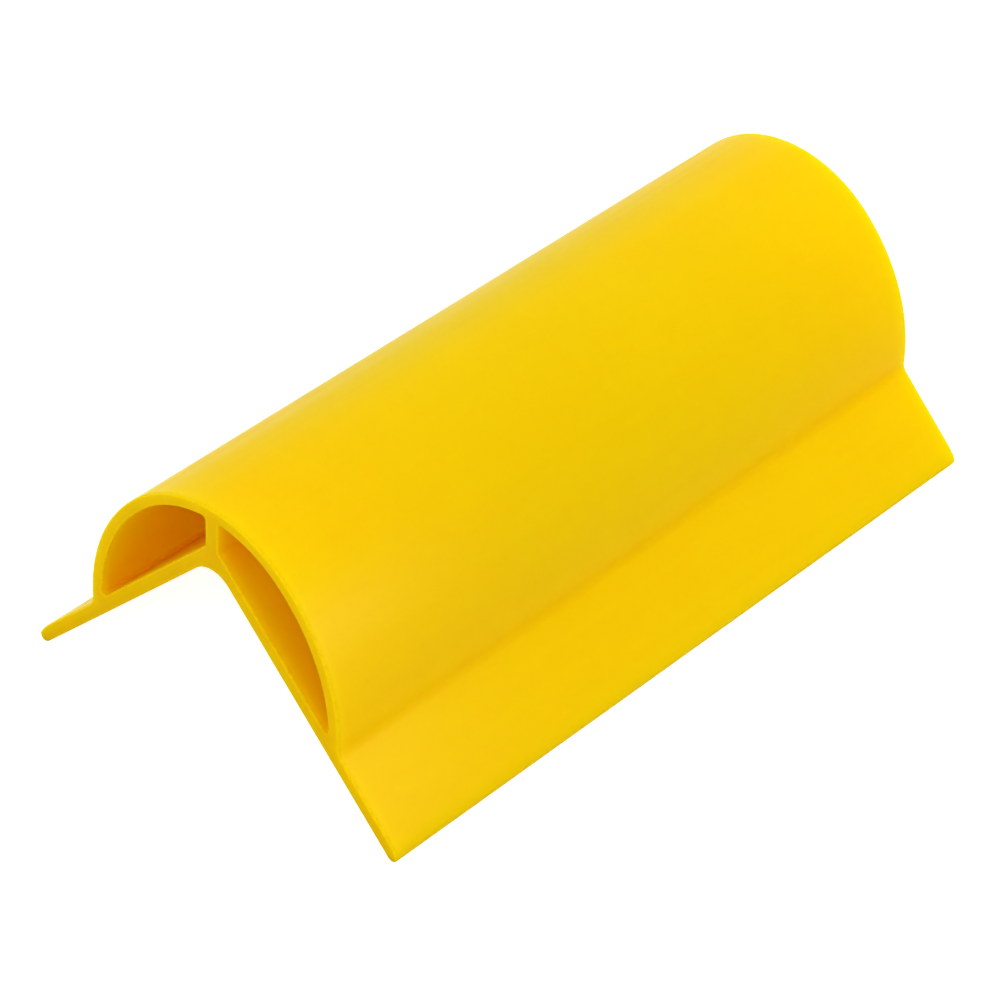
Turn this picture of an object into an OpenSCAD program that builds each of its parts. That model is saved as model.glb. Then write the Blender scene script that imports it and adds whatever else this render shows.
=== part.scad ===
// Flexible corner guard, a length of soft extruded bumper that is fixed over a square corner.
// Two legs lie on the walls, and the hollow bumper that bridges them is split by a rib.
// X runs across the guard, Y along it and Z up through the rib. The guard stands on the
// tips of its legs at Z = 0, with the middle of its length at Y = 0.

/* [Length] */
// Length of the piece, sawn square at both ends
guard_len = 260; // [40:10:1200]

/* [Legs] */
// Angle between the wall faces of the two legs
corner_angle = 90; // [84:1:96]
// Length of each leg from the inner corner to its tip
leg_len = 100; // [90:1:140]
// Thickness of each leg
leg_t = 4.5; // [3:0.1:6]
// Radius of the fillet in the inner corner
corner_r = 9; // [2:0.5:12]

/* [Bumper] */
// Outside width across the flanks
bumper_w = 99; // [92:1:110]
// Height of the crown above the inner corner
crown_h = 18; // [14:0.5:24]
// Outside radius of the crown
crown_r = 43.5; // [40:0.5:46]
// Angle from the rib at which the crown runs into the flanks
crown_angle = 41; // [30:1:50]
// Wall of the crown
crown_t = 3.8; // [2.5:0.1:5]
// Wall of the flanks at their widest
flank_t = 4; // [2.5:0.1:6]

/* [Rib] */
// Thickness of the rib between the two hollows
rib_t = 5; // [3:0.1:8]

/* [Fillets] */
// Radius of the groove between each flank and its leg
groove_r = 4.5; // [1:0.1:6]
// Radius in the corners of the hollows
hollow_r = 1.2; // [0.5:0.1:2.5]

/* [Hidden] */
$fn = 180;

// The section is drawn in X and Z from the inner corner. These unit vectors of the
// right leg run along it to the tip, and out of its outer face.
half_angle = corner_angle / 2;
along = [sin(half_angle), -cos(half_angle)];
outward = [cos(half_angle), sin(half_angle)];

// Round tip of the right leg, and the height of the inner corner over the floor
tip_r = leg_t / 2;
tip_c = at_leg(leg_len - tip_r, tip_r);
corner_z = tip_r - tip_c[1];

// Centre of the crown, and the size of the dome inside its wall
crown_c = [0, crown_h - crown_r];
inner_r = crown_r - crown_t;
inner_w = bumper_w - 2 * flank_t;

// Side of a cutting shape that is larger than the section
far = 4 * bumper_w;
// How far a fillet reaches into the walls beside it
root = 1;
// Overlap where an arc runs into the next surface
eps = 0.001;

// Point at a distance along the right leg and at a height over its wall face
function at_leg(distance, height) = distance * along + height * outward;

// Point over the right leg at that height and at distance r from c, nearer the tip
function reach(c, r, height) =
    at_leg(c * along + sqrt(r * r - pow(height - c * outward, 2)), height);

// Radius and centre of the right flank of a dome with crown radius r and width w
function flank_r(r, w) = (w / 2 - r * sin(crown_angle)) / (1 - sin(crown_angle));
function flank_c(r, w) = crown_c + (r - flank_r(r, w)) * [sin(crown_angle), cos(crown_angle)];

// Unit vector from one point to another
function toward(from, to) = (to - from) / norm(to - from);

// Crown arc that runs into a flank arc on each side, carried on below the legs
module dome(r, w) {
    c = flank_c(r, w);
    translate(crown_c)
        circle(r + eps);
    intersection() {
        translate(c)
            circle(flank_r(r, w));
        translate([-c[0], c[1]])
            circle(flank_r(r, w));
        translate([-far / 2, crown_c[1] + r * cos(crown_angle) - far])
            square(far);
    }
}

// Everything above a height over the wall faces
module above_legs(height) {
    peak = [0, height / sin(half_angle)];
    foot = peak + far * along;
    polygon([peak, foot, [foot[0], far], [-foot[0], far], [-foot[0], foot[1]]]);
}

// Fills a corner up to an arc of radius r about c. The unit vectors a and b point
// from c to the two sides of the corner, in anticlockwise order.
module fillet(c, r, a, b) {
    d = r + root;
    difference() {
        polygon([c, c + d * a, c + d * (a + b) / (1 + a * b), c + d * b]);
        translate(c)
            circle(r + 2 * eps);
    }
}

// Both legs as one bent strip with full round tips
module legs() {
    inner_end = at_leg(leg_len - tip_r, 0);
    outer_end = at_leg(leg_len - tip_r, leg_t);
    polygon([
        [0, 0],
        inner_end,
        outer_end,
        [0, leg_t / sin(half_angle)],
        [-outer_end[0], outer_end[1]],
        [-inner_end[0], inner_end[1]]
    ]);
    for (side = [-1, 1])
        translate([side * tip_c[0], tip_c[1]])
            circle(tip_r + eps);
}

// Bumper wall and rib, rooted in the middle of the legs' thickness
module bumper() {
    difference() {
        intersection() {
            dome(crown_r, bumper_w);
            above_legs(leg_t / 2);
        }
        difference() {
            dome(inner_r, inner_w);
            translate([-rib_t / 2, -far / 2])
                square([rib_t, far]);
        }
    }
}

// Fillet where the wall faces of the legs meet
module corner_fillet() {
    c = [0, -corner_r / sin(half_angle)];
    fillet(c, corner_r, outward, [-outward[0], outward[1]]);
}

// Groove between the right flank and its leg
module groove_fillet() {
    flank = flank_c(crown_r, bumper_w);
    c = reach(flank, flank_r(crown_r, bumper_w) + groove_r, leg_t + groove_r);
    fillet(c, groove_r, toward(c, flank), -outward);
}

// Corners of the right hollow: under the crown, at the foot of the rib and at the flank
module hollow_fillets() {
    x = rib_t / 2 + hollow_r;
    head = [x, crown_c[1] + sqrt(pow(inner_r - hollow_r, 2) - x * x)];
    fillet(head, hollow_r, toward(crown_c, head), [-1, 0]);

    foot = [x, (leg_t + hollow_r - x * outward[0]) / outward[1]];
    fillet(foot, hollow_r, [-1, 0], -outward);

    flank = flank_c(inner_r, inner_w);
    toe = reach(flank, flank_r(inner_r, inner_w) - hollow_r, leg_t + hollow_r);
    fillet(toe, hollow_r, -outward, toward(flank, toe));
}

module section() {
    legs();
    bumper();
    corner_fillet();
    for (side = [0, 1])
        mirror([side, 0]) {
            groove_fillet();
            hollow_fillets();
        }
}

module corner_guard() {
    color([1, 0.8, 0])
        translate([0, guard_len / 2, corner_z])
            rotate([90, 0, 0])
                linear_extrude(height = guard_len)
                    section();
}

corner_guard();
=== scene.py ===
"""Looks of a flexible corner guard: a soft extruded bumper that covers a square corner.

The section is drawn again, finer than the CAD node, and carried along Y with eased
edges at its two sawn ends. It is dressed as soft extruded plastic and set on a plain
pale studio floor.
"""

import math

import bmesh
import bpy
from bpy.props import FloatProperty, FloatVectorProperty, PointerProperty
from mathutils import Matrix, Vector


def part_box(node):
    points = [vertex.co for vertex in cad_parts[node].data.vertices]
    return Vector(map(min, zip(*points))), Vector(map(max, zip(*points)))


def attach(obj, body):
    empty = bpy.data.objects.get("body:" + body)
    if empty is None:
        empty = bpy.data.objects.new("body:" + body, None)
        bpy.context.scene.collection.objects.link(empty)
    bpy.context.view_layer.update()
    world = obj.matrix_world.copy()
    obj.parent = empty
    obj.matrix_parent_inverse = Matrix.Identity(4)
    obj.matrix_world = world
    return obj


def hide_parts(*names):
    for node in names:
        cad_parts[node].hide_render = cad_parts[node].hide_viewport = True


bl_info = {
    "name": "Flexible Corner Guard",
    "version": (1, 0, 0),
    "blender": (4, 5, 0),
    "location": "View3D > Sidebar > Corner Guard",
    "description": "Soft extruded corner guard with sawn ends, on a studio floor",
    "category": "Add Mesh",
}

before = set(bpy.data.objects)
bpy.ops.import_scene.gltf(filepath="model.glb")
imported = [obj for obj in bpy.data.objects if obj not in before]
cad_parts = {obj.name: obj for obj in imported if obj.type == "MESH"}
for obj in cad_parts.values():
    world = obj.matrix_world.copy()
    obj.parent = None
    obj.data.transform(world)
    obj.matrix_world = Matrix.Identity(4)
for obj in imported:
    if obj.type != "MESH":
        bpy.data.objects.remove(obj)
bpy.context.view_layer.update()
NODE = "corner_guard"
NODE_LOW, NODE_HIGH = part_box(NODE)


# ---- Sizes and colours ----


def length_size(name, description, default, low, high):
    """A length in metres for the sidebar."""
    return FloatProperty(
        name=name,
        description=description,
        default=default,
        min=low,
        max=high,
        precision=4,
        subtype="DISTANCE",
        unit="LENGTH",
    )


def angle_size(name, description, degrees, low, high):
    """An angle for the sidebar, given here in degrees."""
    return FloatProperty(
        name=name,
        description=description,
        default=math.radians(degrees),
        min=math.radians(low),
        max=math.radians(high),
        subtype="ANGLE",
        unit="ROTATION",
    )


def share(name, description, default, high=1.0):
    """A plain number from 0 up for the sidebar."""
    return FloatProperty(
        name=name,
        description=description,
        default=default,
        min=0.0,
        max=high,
        subtype="FACTOR",
    )


def power(name, description, default):
    """The power of a lamp in watts for the sidebar."""
    return FloatProperty(
        name=name,
        description=description,
        default=default,
        min=0.0,
        max=500.0,
        subtype="POWER",
        unit="POWER",
    )


def colour(name, description, default):
    """A colour for the sidebar, in linear values."""
    return FloatVectorProperty(
        name=name,
        description=description,
        default=default,
        min=0.0,
        max=1.0,
        size=3,
        subtype="COLOR",
    )


class GuardSection(bpy.types.PropertyGroup):
    """Sizes of the CAD source's section, and of the tips and sawn edges drawn here."""

    length: length_size(
        "Length",
        "Length between the two sawn ends",
        NODE_HIGH.y - NODE_LOW.y,
        0.04,
        1.2,
    )
    corner_angle: angle_size(
        "Corner Angle", "Angle between the wall faces of the legs", 90, 84, 96
    )
    leg_len: length_size(
        "Leg Length", "Inner corner to the tip of a leg", 0.1, 0.09, 0.14
    )
    leg_t: length_size("Leg Thickness", "Thickness of each leg", 0.0045, 0.003, 0.006)
    shoulder_r: length_size(
        "Tip Shoulder",
        "Radius on the outer side of each tip, wider than its round nose",
        0.018,
        0.004,
        0.03,
    )
    corner_r: length_size(
        "Corner Fillet", "Radius of the fillet in the inner corner", 0.009, 0.002, 0.012
    )
    bumper_w: length_size(
        "Bumper Width", "Outside width across the flanks", 0.099, 0.092, 0.11
    )
    crown_h: length_size(
        "Crown Height",
        "Height of the crown above the inner corner",
        0.018,
        0.014,
        0.024,
    )
    crown_r: length_size(
        "Crown Radius", "Outside radius of the crown", 0.0435, 0.04, 0.046
    )
    crown_angle: angle_size(
        "Crown Angle",
        "Angle from the rib at which the crown runs into the flanks",
        41,
        30,
        50,
    )
    crown_t: length_size("Crown Wall", "Wall of the crown", 0.0038, 0.0025, 0.005)
    flank_t: length_size(
        "Flank Wall", "Wall of the flanks at their widest", 0.004, 0.0025, 0.006
    )
    rib_t: length_size("Rib Thickness", "Thickness of the rib", 0.005, 0.003, 0.008)
    groove_r: length_size(
        "Groove Fillet",
        "Radius between each flank and its leg",
        0.0045,
        0.001,
        0.006,
    )
    hollow_r: length_size(
        "Hollow Fillet",
        "Radius in the corners of the hollows",
        0.0012,
        0.0005,
        0.0025,
    )
    edge_r: length_size(
        "Sawn Edge", "Radius to which the sawn edges are eased", 0.0006, 0.0001, 0.0015
    )


class GuardFinish(bpy.types.PropertyGroup):
    """Colours and surface of the soft plastic; the sawn and worn colours also hold
    painted shade.
    """

    body_colour: colour(
        "Body Colour", "Colour of the extruded skin", (0.977, 0.57, 0.0)
    )
    deep_colour: colour(
        "Deep Colour", "Warmer tone that the skin drifts to", (0.963, 0.543, 0.0)
    )
    # Duller colour of the sawn ends, darkened further by painted shade that offsets the
    # front fill lamp facing them
    sawn_and_shade_colour: colour(
        "Sawn Colour", "Colour of the two sawn ends", (0.728, 0.428, 0.0)
    )
    # Worn tone of the sawn edges and of the flecks on the sawn faces; on the skin near
    # the ends it is also painted shade that dulls the light the eased edges catch
    worn_and_shade_colour: colour(
        "Worn Colour", "Duller tone of the rubbed sawn edges", (0.77, 0.445, 0.0)
    )
    skin_roughness: share("Skin Roughness", "Mean roughness of the skin", 0.45)
    sawn_roughness: share("Sawn Roughness", "Mean roughness of the sawn ends", 0.6)
    die_line_depth: length_size(
        "Die Line Depth",
        "Depth of the faint lines that the die leaves",
        0.000012,
        0.0,
        0.0001,
    )
    saw_mark_depth: length_size(
        "Saw Mark Depth", "Depth of the marks of the saw blade", 0.00003, 0.0, 0.0003
    )
    glow_depth: length_size(
        "Glow Depth", "How far light spreads inside the soft plastic", 0.014, 0.0, 0.05
    )


class GuardStage(bpy.types.PropertyGroup):
    """Camera, floor and lamps of the studio."""

    azimuth: angle_size(
        "Azimuth", "Camera direction round the guard", 40.48, -180, 180
    )
    elevation: angle_size(
        "Elevation", "Camera angle over the floor", 37.68, -90, 90
    )
    roll: angle_size("Roll", "Turn of the camera about its view", 2.24, -45, 45)
    distance: length_size(
        "Distance", "Camera to the point that it looks at", 1.2798, 0.3, 5.0
    )
    lens: FloatProperty(
        name="Lens",
        description="Focal length of the camera on its 36 mm sensor",
        default=163.904,
        min=20.0,
        max=300.0,
        subtype="DISTANCE_CAMERA",
        unit="CAMERA",
    )
    floor_colour: colour(
        "Floor Colour", "Colour of the studio floor", (0.8, 0.8, 0.8)
    )
    floor_glow: share(
        "Floor Glow", "White that the camera sees added to the floor", 0.86, 2.0
    )
    ambient: share("Ambient", "Even light from all round", 0.69, 2.0)
    top_power: power("Top Power", "Power of the overhead softbox", 3.65)
    side_power: power("Side Power", "Power of the softbox at the far right", 7.3)
    fill_power: power("Fill Power", "Power of the front softbox", 5.0)
    sheen_power: power("Sheen Power", "Power of the small lamp that only glosses", 0.17)


# ---- Section ----

# Longest step along an arc, along a flat face, and along the length of the guard
ARC_STEP = 0.0009
FLAT_STEP = 0.006
LENGTH_STEP = 0.013
# Fewest steps of an arc, and the steps of each eased edge
MIN_ARC_STEPS = 6
EASE_STEPS = 6
# Two points of the section nearer than this are one point
SAME_POINT = 1e-7
# Radius of the round nose of each tip, as a share of the leg's thickness
NOSE_SHARE = 0.44


def polar(angle):
    """Unit vector at an angle from +X towards +Z."""
    return Vector((math.cos(angle), math.sin(angle)))


def angle_of(vector):
    """Angle of a vector from +X towards +Z."""
    return math.atan2(vector.y, vector.x)


class SectionLayout:
    """Centres, radii and angles of the section's arcs, drawn from the inner corner.

    An arc is its centre, its radius, its first and last angle, and 1 where the plastic
    lies on its centre's side or -1 where it lies beyond it.
    """

    def __init__(self, sizes):
        self.sizes = sizes
        half = sizes.corner_angle / 2
        self.along = Vector((math.sin(half), -math.cos(half)))
        self.outward = Vector((math.cos(half), math.sin(half)))
        self.leg_face = angle_of(self.outward)
        self.wall_face = self.leg_face - math.pi
        tip_r = sizes.leg_t / 2
        self.lift = tip_r - self.at_leg(sizes.leg_len - tip_r, tip_r).y
        self.crown = Vector((0.0, sizes.crown_h - sizes.crown_r))
        self.inner_r = sizes.crown_r - sizes.crown_t
        self.inner_w = sizes.bumper_w - 2 * sizes.flank_t
        self.crown_end = math.pi / 2 - sizes.crown_angle

    def at_leg(self, distance, height):
        """Point at a distance along the right leg and a height over its wall face."""
        return distance * self.along + height * self.outward

    def reach(self, centre, radius, height):
        """Point over the right leg at that height and that far from a centre."""
        over = height - centre.dot(self.outward)
        run = math.sqrt(radius * radius - over * over)
        return self.at_leg(centre.dot(self.along) + run, height)

    def flank(self, radius, width):
        """Centre and radius of the right flank of a dome with that crown and width."""
        turn = math.sin(self.sizes.crown_angle)
        flank_r = (width / 2 - radius * turn) / (1 - turn)
        return self.crown + (radius - flank_r) * polar(self.crown_end), flank_r

    def tip_arcs(self):
        """Arcs of the right leg's tip: a round nose on the floor, a wider shoulder."""
        sizes = self.sizes
        nose_r, shoulder_r = sizes.leg_t * NOSE_SHARE, sizes.shoulder_r
        rise = nose_r * (1 - self.outward.y)
        nose = self.at_leg((self.lift - rise) / -self.along.y, nose_r)
        turn = math.asin((nose_r + shoulder_r - sizes.leg_t) / (shoulder_r - nose_r))
        meet = angle_of(self.along) + turn
        shoulder = nose - (shoulder_r - nose_r) * polar(meet)
        return [
            (nose, nose_r, self.wall_face, meet, 1),
            (shoulder, shoulder_r, meet, self.leg_face, 1),
        ]

    def outer_arcs(self):
        """Arcs of the right half of the outline, from the inner corner to the crown."""
        sizes = self.sizes
        corner = Vector((0.0, -sizes.corner_r / self.outward.y))
        flank, flank_r = self.flank(sizes.crown_r, sizes.bumper_w)
        groove = self.reach(
            flank, flank_r + sizes.groove_r, sizes.leg_t + sizes.groove_r
        )
        from_flank = angle_of(groove - flank)
        turn = 2 * math.pi
        return [
            (corner, sizes.corner_r, math.pi / 2, self.leg_face, -1),
            *self.tip_arcs(),
            (groove, sizes.groove_r, self.wall_face + turn, from_flank + math.pi, -1),
            (flank, flank_r, from_flank, self.crown_end, 1),
            (self.crown, sizes.crown_r, self.crown_end, math.pi / 2, 1),
        ]

    def hollow_arcs(self):
        """Arcs round the right hollow, from the head of the rib over the crown."""
        sizes = self.sizes
        r = sizes.hollow_r
        x = sizes.rib_t / 2 + r
        head = Vector((x, self.crown.y + math.sqrt((self.inner_r - r) ** 2 - x * x)))
        foot = Vector((x, (sizes.leg_t + r - x * self.outward.x) / self.outward.y))
        flank, flank_r = self.flank(self.inner_r, self.inner_w)
        toe = self.reach(flank, flank_r - r, sizes.leg_t + r)
        to_head = angle_of(head - self.crown)
        to_toe = angle_of(toe - flank)
        return [
            (head, r, math.pi, to_head, -1),
            (self.crown, self.inner_r, to_head, self.crown_end, -1),
            (flank, flank_r, self.crown_end, to_toe, -1),
            (toe, r, to_toe, self.wall_face, -1),
            (foot, r, self.wall_face, -math.pi, -1),
        ]


def trace(arcs):
    """Points along arcs joined by flat faces, each with the way that it faces."""
    points = []
    for centre, radius, start, end, side in arcs:
        steps = max(MIN_ARC_STEPS, math.ceil(abs(end - start) * radius / ARC_STEP))
        for i in range(steps + 1):
            way = polar(start + (end - start) * i / steps)
            points.append((centre + radius * way, side * way))
    return points


def close_up(points):
    """A closed loop of the points, with doubles dropped and long flats divided."""
    loop = []
    for i, (point, way) in enumerate(points):
        following, following_way = points[(i + 1) % len(points)]
        gap = (following - point).length
        if gap < SAME_POINT:
            continue
        loop.append((point, way))
        steps = math.ceil(gap / FLAT_STEP)
        for k in range(1, steps):
            middle = (way + following_way).normalized()
            loop.append((point.lerp(following, k / steps), middle))
    return loop


def mirrored(points):
    """The same points on the other side of the rib, in reverse order."""
    return [
        (Vector((-point.x, point.y)), Vector((-way.x, way.y)))
        for point, way in reversed(points)
    ]


def section_loops(sizes):
    """The outline and the two hollows as closed loops, standing on the floor."""
    layout = SectionLayout(sizes)
    half = trace(layout.outer_arcs())
    hollow = trace(layout.hollow_arcs())
    loops = [half + mirrored(half), hollow, mirrored(hollow)]
    up = Vector((0.0, layout.lift))
    return [[(p + up, way) for p, way in close_up(loop)] for loop in loops]


def stations(length, edge_r):
    """Places along the length, from the front end to the back.

    Each is its Y, how far the section is drawn in there, the angle by which the surface
    has turned away from the sawn face, and -1 for the front end or 1 for the back.
    """
    ends = []
    for k in range(EASE_STEPS + 1):
        turn = math.pi / 2 * k / EASE_STEPS
        y = length / 2 - edge_r * (1 - math.cos(turn))
        ends.append((y, edge_r * (1 - math.sin(turn)), turn))
    straight = length - 2 * edge_r
    steps = math.ceil(straight / LENGTH_STEP)
    front = [(-y, inset, turn, -1) for y, inset, turn in ends]
    middle = [
        (straight * (k / steps - 0.5), 0.0, math.pi / 2, 1) for k in range(1, steps)
    ]
    back = [(y, inset, turn, 1) for y, inset, turn in reversed(ends)]
    return front + middle + back


# ---- Mesh ----

# Place of the sawn ends' material in the guard's list, after the skin's
SAWN_INDEX = 1


def add_rings(bm, loop, places, ways):
    """The loop's vertices at each place. The way that each one faces is put in ways."""
    rings = []
    for y, inset, turn, end in places:
        ring = []
        for point, way in loop:
            at = point - inset * way
            ring.append(bm.verts.new((at.x, y, at.y)))
            out = math.sin(turn)
            ways.append((way.x * out, end * math.cos(turn), way.y * out))
        rings.append(ring)
    return rings


def join_rings(bm, rings):
    """Faces between each two neighbouring rings."""
    for near, far in zip(rings, rings[1:]):
        for i in range(len(near)):
            k = (i + 1) % len(near)
            bm.faces.new((near[i], far[i], far[k], near[k]))


def cap_end(bm, rings, facing):
    """The flat sawn face between the outline and the hollows at one end."""
    edges = []
    for ring in rings:
        for i, vert in enumerate(ring):
            edges.append(bm.edges.get((vert, ring[(i + 1) % len(ring)])))
    made = bmesh.ops.triangle_fill(
        bm, edges=edges, use_beauty=True, normal=(0.0, facing, 0.0)
    )
    for face in made["geom"]:
        if isinstance(face, bmesh.types.BMFace):
            face.normal_update()
            if face.normal.y * facing < 0:
                face.normal_flip()
            face.material_index = SAWN_INDEX


def guard_mesh(sizes):
    """The whole guard as one closed mesh with exact normals."""
    bm = bmesh.new()
    ways = []
    places = stations(sizes.length, sizes.edge_r)
    all_rings = [add_rings(bm, loop, places, ways) for loop in section_loops(sizes)]
    for rings in all_rings:
        join_rings(bm, rings)
    cap_end(bm, [rings[0] for rings in all_rings], -1)
    cap_end(bm, [rings[-1] for rings in all_rings], 1)
    open_edges = [edge for edge in bm.edges if len(edge.link_faces) != 2]
    if open_edges:
        raise RuntimeError(f"the guard has {len(open_edges)} open edges")
    for face in bm.faces:
        face.smooth = True
    mesh = bpy.data.meshes.new("guard_profile")
    bm.to_mesh(mesh)
    bm.free()
    mesh.normals_split_custom_set_from_vertices(ways)
    return mesh


# ---- Shader nodes ----

# Most of a noise lies in this range
NOISE_RANGE = (0.3, 0.7)


def bare_tree(owner):
    """The emptied node tree of a material or a world."""
    owner.use_nodes = True
    owner.node_tree.nodes.clear()
    return owner.node_tree


def add_node(tree, kind, values=None, **settings):
    """A shader node with its settings and the values of its sockets."""
    node = tree.nodes.new(kind)
    for name, value in settings.items():
        setattr(node, name, value)
    for name, value in (values or {}).items():
        node.inputs[name].default_value = value
    return node


def feed(tree, socket, value):
    """Links another socket to this one, or sets its value."""
    if isinstance(value, bpy.types.NodeSocket):
        tree.links.new(value, socket)
    else:
        socket.default_value = value


def opaque(tone):
    """A colour from the sidebar with its alpha, as a socket takes it."""
    return (*tone, 1.0)


def mapped(tree, vector, values):
    """Coordinates moved or scaled by a mapping."""
    node = add_node(tree, "ShaderNodeMapping", values)
    tree.links.new(vector, node.inputs["Vector"])
    return node.outputs["Vector"]


def noise(tree, vector, scale, detail, roughness):
    """A noise whose features are about one over scale metres across."""
    node = add_node(
        tree,
        "ShaderNodeTexNoise",
        {"Scale": scale, "Detail": detail, "Roughness": roughness},
    )
    tree.links.new(vector, node.inputs["Vector"])
    return node.outputs["Fac"]


def ranged(tree, value, from_low, from_high, to_low, to_high):
    """The value carried over from one range to another, and kept in it."""
    node = add_node(
        tree,
        "ShaderNodeMapRange",
        {
            "From Min": from_low,
            "From Max": from_high,
            "To Min": to_low,
            "To Max": to_high,
        },
        clamp=True,
    )
    tree.links.new(value, node.inputs["Value"])
    return node.outputs["Result"]


def spread(tree, pattern, low, high):
    """A noise carried over from where most of it lies to another range."""
    return ranged(tree, pattern, *NOISE_RANGE, low, high)


def math_node(tree, operation, *values):
    """The result of an operation on one or two values, each a socket or a number."""
    node = add_node(tree, "ShaderNodeMath", operation=operation)
    for socket, value in zip(node.inputs, values):
        feed(tree, socket, value)
    return node.outputs["Value"]


def mixed(tree, factor, first, second):
    """A colour between two, each a socket or an opaque colour."""
    node = add_node(tree, "ShaderNodeMix", data_type="RGBA")
    tree.links.new(factor, node.inputs["Factor"])
    for name, value in (("A", first), ("B", second)):
        socket = next(s for s in node.inputs if s.name == name and s.type == "RGBA")
        feed(tree, socket, value)
    return next(s for s in node.outputs if s.type == "RGBA")


def bump(tree, height, distance, under=None):
    """A bump of that height in metres, on top of another."""
    node = add_node(tree, "ShaderNodeBump", {"Strength": 1.0, "Distance": distance})
    tree.links.new(height, node.inputs["Height"])
    if under is not None:
        tree.links.new(under, node.inputs["Normal"])
    return node.outputs["Normal"]


# ---- Soft plastic ----

# Its refraction, its weak gloss, yellowish where it is met head on, and how far red,
# green and blue light spread inside it, as shares of the glow depth
SOFT_PLASTIC = {
    "IOR": 1.5,
    "Specular IOR Level": 0.05,
    "Specular Tint": (1.0, 0.9, 0.35, 1.0),
    "Subsurface Weight": 1.0,
    "Subsurface Radius": (0.7, 0.85, 0.1),
}

# Noises of the skin and of the sawn ends: features in a metre, levels of detail, and
# how rough the detail is
CLOUDS = (30.0, 3.0, 0.5)
BROAD_LINES = (240.0, 2.0, 0.5)
FINE_LINES = (1300.0, 3.0, 0.6)
GRAIN = (5200.0, 2.0, 0.5)
SPECKS = (900.0, 3.0, 0.7)
SAWN_CLOUDS = (60.0, 3.0, 0.5)
TEARS = (2200.0, 4.0, 0.65)

# Features in a metre along the die lines, against those across them
BROAD_DRAW = 0.02
FINE_DRAW = 0.006
# How far the clouds and the broad lines each take the skin to its deeper tone
CLOUD_TONE = 0.6
LINE_TONE = 0.4
# How far each of them moves its roughness up and down
CLOUD_SWING = 0.02
LINE_SWING = 0.05
# Depth of the broad lines against the fine ones, and depth of the grain in metres
BROAD_DEPTH = 3.0
GRAIN_DEPTH = 0.0000015

# Distances from a sawn end at which the edge wear, with painted shade that dulls the
# light the eased edges catch, starts and is complete
RUB_SHADE_START = 0.0018
RUB_SHADE_FULL = 0.0004
# Range of the specks that counts, the least and the most wear and painted shade there,
# and what the wear adds to the roughness
RUB_SHADE_SPECKS = (0.35, 0.65)
RUB_SHADE_SHARE = (0.35, 0.95)
RUB_ROUGHNESS = 0.15

# How far the clouds take the sawn ends to the deeper tone, and the tears to the worn
SAWN_CLOUD_TONE = 0.35
TEAR_TONE = 0.5
# Range of the tears that shows as flecks
TEAR_FLECKS = (0.45, 0.75)
# How far the tears move the roughness up and down, and their depth against the marks
TEAR_SWING = 0.08
TEAR_DEPTH = 0.5
# From the blade's centre, low on the left, to the middle of the guard's foot
BLADE_OFFSET = (0.11, 0.0, 0.13)
# Wave whose rings lie 1.3 mm apart, as the blade's marks do
SAW_WAVE = {"Scale": 240.0, "Distortion": 1.6, "Detail": 2.0, "Detail Scale": 1.5}


def new_plastic(name):
    """An empty plastic, with its tree, its shader and the object's coordinates."""
    material = bpy.data.materials.new(name)
    tree = bare_tree(material)
    output = add_node(tree, "ShaderNodeOutputMaterial")
    shader = add_node(tree, "ShaderNodeBsdfPrincipled", SOFT_PLASTIC)
    tree.links.new(shader.outputs["BSDF"], output.inputs["Surface"])
    place = add_node(tree, "ShaderNodeTexCoord").outputs["Object"]
    return material, tree, shader, place


def dress(tree, shader, finish, tone, rough, relief):
    """Gives the plastic its colour, roughness, relief and inner glow."""
    tree.links.new(tone, shader.inputs["Base Color"])
    tree.links.new(rough, shader.inputs["Roughness"])
    tree.links.new(relief, shader.inputs["Normal"])
    shader.inputs["Subsurface Scale"].default_value = finish.glow_depth


def die_lines(tree, place, draw, pattern):
    """Lines that the die draws along the guard."""
    return noise(tree, mapped(tree, place, {"Scale": (1.0, draw, 1.0)}), *pattern)


def rubbing_and_edge_shade(tree, place, length):
    """How far the skin is worn and darkened with painted shade: in specks, close to the
    sawn ends.
    """
    split = add_node(tree, "ShaderNodeSeparateXYZ")
    tree.links.new(place, split.inputs["Vector"])
    from_middle = math_node(tree, "ABSOLUTE", split.outputs["Y"])
    end = length / 2
    near_end = ranged(tree, from_middle, end - RUB_SHADE_START, end - RUB_SHADE_FULL, 0.0, 1.0)
    specks = noise(tree, place, *SPECKS)
    speckled = ranged(tree, specks, *RUB_SHADE_SPECKS, *RUB_SHADE_SHARE)
    return math_node(tree, "MULTIPLY", near_end, speckled)


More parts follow.
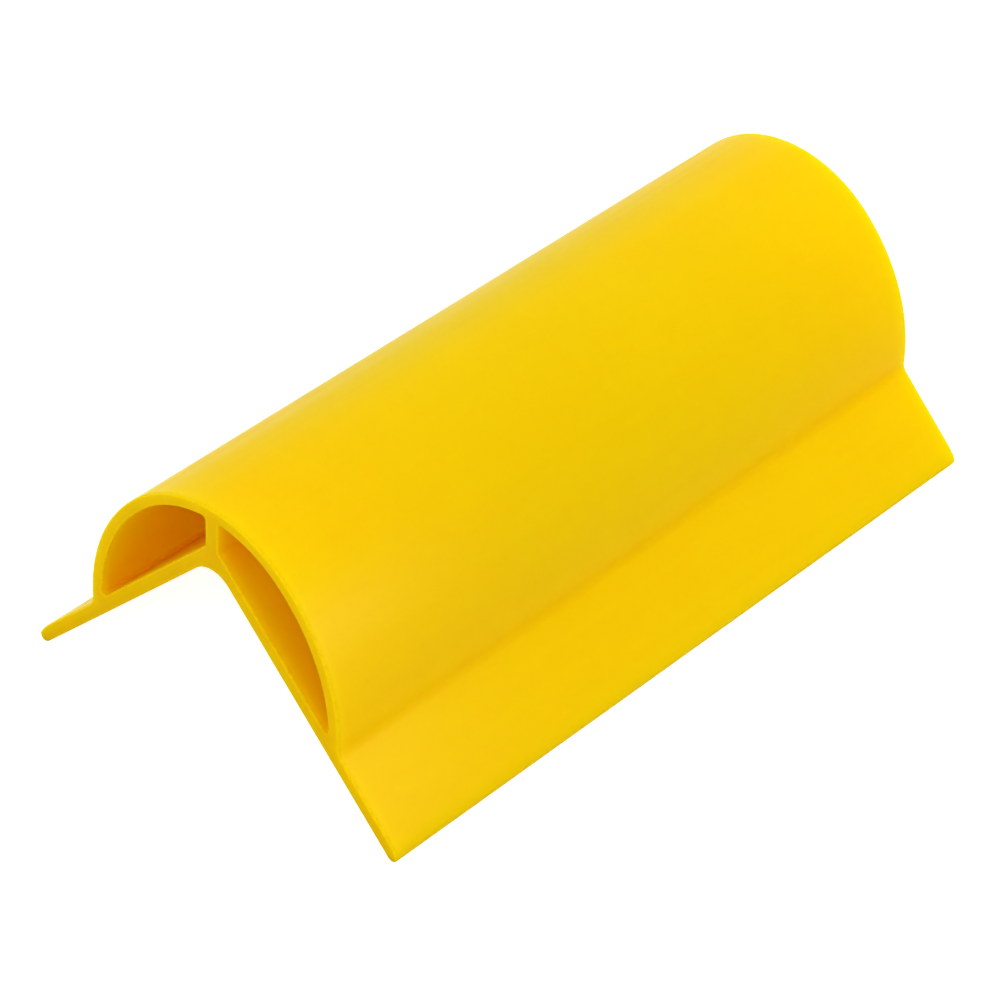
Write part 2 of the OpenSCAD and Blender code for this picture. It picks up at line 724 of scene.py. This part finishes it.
def skin_material(sizes, finish):
    """Extruded skin: die lines along the length, faint cloudy tone, and worn ends with
    painted shade.
    """
    material, tree, shader, place = new_plastic("guard_skin")
    fine_lines = die_lines(tree, place, FINE_DRAW, FINE_LINES)
    broad_lines = die_lines(tree, place, BROAD_DRAW, BROAD_LINES)
    clouds = noise(tree, place, *CLOUDS)
    grain = noise(tree, place, *GRAIN)
    rubbed_and_shaded = rubbing_and_edge_shade(tree, place, sizes.length)

    drift = math_node(
        tree,
        "ADD",
        spread(tree, clouds, 0.0, CLOUD_TONE),
        spread(tree, broad_lines, 0.0, LINE_TONE),
    )
    tone = mixed(tree, drift, opaque(finish.body_colour), opaque(finish.deep_colour))
    # Near the sawn ends the worn tone is partly edge wear and partly painted shade that
    # dulls the light the eased edges catch
    tone = mixed(tree, rubbed_and_shaded, tone, opaque(finish.worn_and_shade_colour))

    mean = finish.skin_roughness
    rough = math_node(
        tree,
        "ADD",
        spread(tree, broad_lines, mean - LINE_SWING, mean + LINE_SWING),
        spread(tree, clouds, -CLOUD_SWING, CLOUD_SWING),
    )
    worn = math_node(tree, "MULTIPLY", rubbed_and_shaded, RUB_ROUGHNESS)
    rough = math_node(tree, "ADD", rough, worn)

    relief = bump(tree, fine_lines, finish.die_line_depth)
    relief = bump(tree, broad_lines, finish.die_line_depth * BROAD_DEPTH, relief)
    relief = bump(tree, grain, GRAIN_DEPTH, relief)
    dress(tree, shader, finish, tone, rough, relief)
    return material


def blade_marks(tree, place):
    """Rings about the blade's centre, which bow across the section."""
    marks = add_node(
        tree, "ShaderNodeTexWave", SAW_WAVE, wave_type="RINGS", rings_direction="Y"
    )
    from_blade = mapped(tree, place, {"Location": BLADE_OFFSET})
    tree.links.new(from_blade, marks.inputs["Vector"])
    return marks.outputs["Fac"]


def sawn_material(finish):
    """Sawn ends: shallow arcs of the blade, a torn, duller surface, and painted shade
    in their colour.
    """
    material, tree, shader, place = new_plastic("guard_sawn_end")
    marks = blade_marks(tree, place)
    tears = noise(tree, place, *TEARS)
    clouds = noise(tree, place, *SAWN_CLOUDS)

    drift = spread(tree, clouds, 0.0, SAWN_CLOUD_TONE)
    flecks = ranged(tree, tears, *TEAR_FLECKS, 0.0, TEAR_TONE)
    # The sawn colour is the ends' own duller tone plus painted shade against the front
    # fill lamp
    tone = mixed(tree, drift, opaque(finish.sawn_and_shade_colour), opaque(finish.deep_colour))
    tone = mixed(tree, flecks, tone, opaque(finish.worn_and_shade_colour))

    mean = finish.sawn_roughness
    rough = spread(tree, tears, mean - TEAR_SWING, mean + TEAR_SWING)

    relief = bump(tree, marks, finish.saw_mark_depth)
    relief = bump(tree, tears, finish.saw_mark_depth * TEAR_DEPTH, relief)
    dress(tree, shader, finish, tone, rough, relief)
    return material


# ---- Stage ----

# The point that the camera looks at
VIEW_POINT = Vector((0.05338, -0.06864, 0.08603))
# Width of the camera's sensor in millimetres, and the nearest and farthest that it sees
SENSOR = 36.0
CLIP_START = 0.05
CLIP_END = 50.0
# Side of the floor
FLOOR_SIZE = 8.0
# Light needs this many bounces to fill the deep hollows
HOLLOW_BOUNCES = 24
# The points that the lamps are turned to
MIDDLE = (0.0, 0.0, 0.04)
NEAR_END = (0.062, -0.13, 0.035)
# Place, target and width of each lamp
TOP_SOFTBOX = ((0.0, 0.0, 1.5), MIDDLE, 1.2)
FILL_SOFTBOX = ((0.2, -1.5, 0.5), MIDDLE, 0.8)
SIDE_SOFTBOX = ((0.6, 0.9, 1.0), MIDDLE, 0.8)
SHEEN_LAMP = ((0.135, -0.076, 0.096), NEAR_END, 0.05)


def seen_white(tree):
    """One for rays that look at the background, nought for those that only light."""
    rays = add_node(tree, "ShaderNodeLightPath").outputs
    looks = math_node(tree, "MAXIMUM", rays["Is Camera Ray"], rays["Is Glossy Ray"])
    return math_node(tree, "MAXIMUM", looks, rays["Is Transmission Ray"])


def floor_material(stage):
    """Pale matt floor. White is added for looking rays, and the shadow stays."""
    material = bpy.data.materials.new("studio_floor")
    tree = bare_tree(material)
    link = tree.links.new
    output = add_node(tree, "ShaderNodeOutputMaterial")
    matt = add_node(
        tree,
        "ShaderNodeBsdfDiffuse",
        {"Color": opaque(stage.floor_colour), "Roughness": 1.0},
    )
    glow = add_node(tree, "ShaderNodeEmission")
    level = math_node(tree, "MULTIPLY", seen_white(tree), stage.floor_glow)
    link(level, glow.inputs["Strength"])
    both = add_node(tree, "ShaderNodeAddShader")
    link(matt.outputs["BSDF"], both.inputs[0])
    link(glow.outputs["Emission"], both.inputs[1])
    link(both.outputs["Shader"], output.inputs["Surface"])
    return material


def studio_world(stage):
    """White to the eye, and a soft even light on everything."""
    world = bpy.data.worlds.new("studio_world")
    tree = bare_tree(world)
    output = add_node(tree, "ShaderNodeOutputWorld")
    background = add_node(
        tree, "ShaderNodeBackground", {"Color": (1.0, 1.0, 1.0, 1.0)}
    )
    level = ranged(tree, seen_white(tree), 0.0, 1.0, stage.ambient, 1.0)
    tree.links.new(level, background.inputs["Strength"])
    tree.links.new(background.outputs["Background"], output.inputs["Surface"])
    return world


def add_object(name, data):
    """A new object in the scene."""
    made = bpy.data.objects.new(name, data)
    bpy.context.scene.collection.objects.link(made)
    return made


def add_camera(stage):
    """The camera, turned to its point with its small roll."""
    azimuth, elevation, roll = stage.azimuth, stage.elevation, stage.roll
    back = Vector(
        (
            math.sin(azimuth) * math.cos(elevation),
            -math.cos(azimuth) * math.cos(elevation),
            math.sin(elevation),
        )
    )
    level = Vector((math.cos(azimuth), math.sin(azimuth), 0.0))
    rising = back.cross(level)
    right = math.cos(roll) * level + math.sin(roll) * rising
    up = math.cos(roll) * rising - math.sin(roll) * level
    data = bpy.data.cameras.new("studio_camera")
    data.sensor_width = SENSOR
    data.lens = stage.lens
    data.clip_start = CLIP_START
    data.clip_end = CLIP_END
    camera = add_object("studio_camera", data)
    place = Matrix.Translation(VIEW_POINT + stage.distance * back)
    camera.matrix_world = place @ Matrix((right, up, back)).transposed().to_4x4()
    bpy.context.scene.camera = camera


def add_floor(stage):
    """The studio floor that the guard stands on."""
    mesh = bpy.data.meshes.new("studio_floor")
    half = FLOOR_SIZE / 2
    corners = [(-half, -half, 0), (half, -half, 0), (half, half, 0), (-half, half, 0)]
    mesh.from_pydata(corners, [], [(0, 1, 2, 3)])
    mesh.materials.append(floor_material(stage))
    floor = add_object("studio_floor", mesh)


def add_lamp(name, place, target, width, watts):
    """A square lamp at a place, turned to a target."""
    data = bpy.data.lights.new(name, "AREA")
    data.shape = "SQUARE"
    data.size = width
    data.energy = watts
    lamp = add_object(name, data)
    lamp.visible_camera = False
    lamp.location = place
    way = Vector(place) - Vector(target)
    lamp.rotation_euler = way.to_track_quat("Z", "Y").to_euler()
    return lamp


def add_lamps(stage):
    """The three softboxes, and the small lamp that only glosses."""
    add_lamp("top_softbox", *TOP_SOFTBOX, stage.top_power)
    add_lamp("fill_softbox", *FILL_SOFTBOX, stage.fill_power)
    side = add_lamp("side_softbox", *SIDE_SOFTBOX, stage.side_power)
    side.visible_glossy = False
    sheen = add_lamp("sheen_lamp", *SHEEN_LAMP, stage.sheen_power)
    sheen.visible_diffuse = False


# ---- Operators and panel ----


class GUARD_OT_add_profile(bpy.types.Operator):
    """Builds the corner guard over its CAD node and dresses it"""

    bl_idname = "guard.add_profile"
    bl_label = "Add Corner Guard"
    bl_options = {"REGISTER", "UNDO"}

    def execute(self, context):
        sizes = context.scene.guard_section
        finish = context.scene.guard_finish
        mesh = guard_mesh(sizes)
        mesh.materials.append(skin_material(sizes, finish))
        mesh.materials.append(sawn_material(finish))
        guard = add_object("guard_profile", mesh)
        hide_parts(NODE)
        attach(guard, "root")
        return {"FINISHED"}


class GUARD_OT_set_stage(bpy.types.Operator):
    """Sets up the camera, the floor, the lamps and the world"""

    bl_idname = "guard.set_stage"
    bl_label = "Set Studio Stage"
    bl_options = {"REGISTER", "UNDO"}

    def execute(self, context):
        scene = context.scene
        stage = scene.guard_stage
        add_camera(stage)
        add_floor(stage)
        add_lamps(stage)
        scene.world = studio_world(stage)
        scene.view_settings.view_transform = "Standard"
        scene.cycles.diffuse_bounces = HOLLOW_BOUNCES
        scene.cycles.max_bounces = HOLLOW_BOUNCES
        return {"FINISHED"}


class GUARD_PT_sidebar(bpy.types.Panel):
    """Sizes, finish and stage of the corner guard"""

    bl_idname = "GUARD_PT_sidebar"
    bl_label = "Corner Guard"
    bl_space_type = "VIEW_3D"
    bl_region_type = "UI"
    bl_category = "Corner Guard"

    def draw(self, context):
        layout = self.layout
        scene = context.scene
        for title, group, operator in (
            ("Section", scene.guard_section, "guard.add_profile"),
            ("Finish", scene.guard_finish, None),
            ("Stage", scene.guard_stage, "guard.set_stage"),
        ):
            box = layout.box()
            box.label(text=title)
            for name in group.bl_rna.properties.keys():
                if name not in ("rna_type", "name"):
                    box.prop(group, name)
            if operator:
                box.operator(operator)


GROUPS = {
    "guard_section": GuardSection,
    "guard_finish": GuardFinish,
    "guard_stage": GuardStage,
}
CLASSES = (
    *GROUPS.values(),
    GUARD_OT_add_profile,
    GUARD_OT_set_stage,
    GUARD_PT_sidebar,
)


def register():
    """Registers the classes and puts the groups on the scene."""
    for cls in CLASSES:
        bpy.utils.register_class(cls)
    for name, group in GROUPS.items():
        setattr(bpy.types.Scene, name, PointerProperty(type=group))


def unregister():
    """Takes the groups off the scene and the classes away."""
    for name in GROUPS:
        delattr(bpy.types.Scene, name)
    for cls in reversed(CLASSES):
        bpy.utils.unregister_class(cls)


def main():
    """Builds the guard and its stage."""
    register()
    bpy.ops.guard.set_stage()
    bpy.ops.guard.add_profile()


if __name__ == "__main__":
    main()
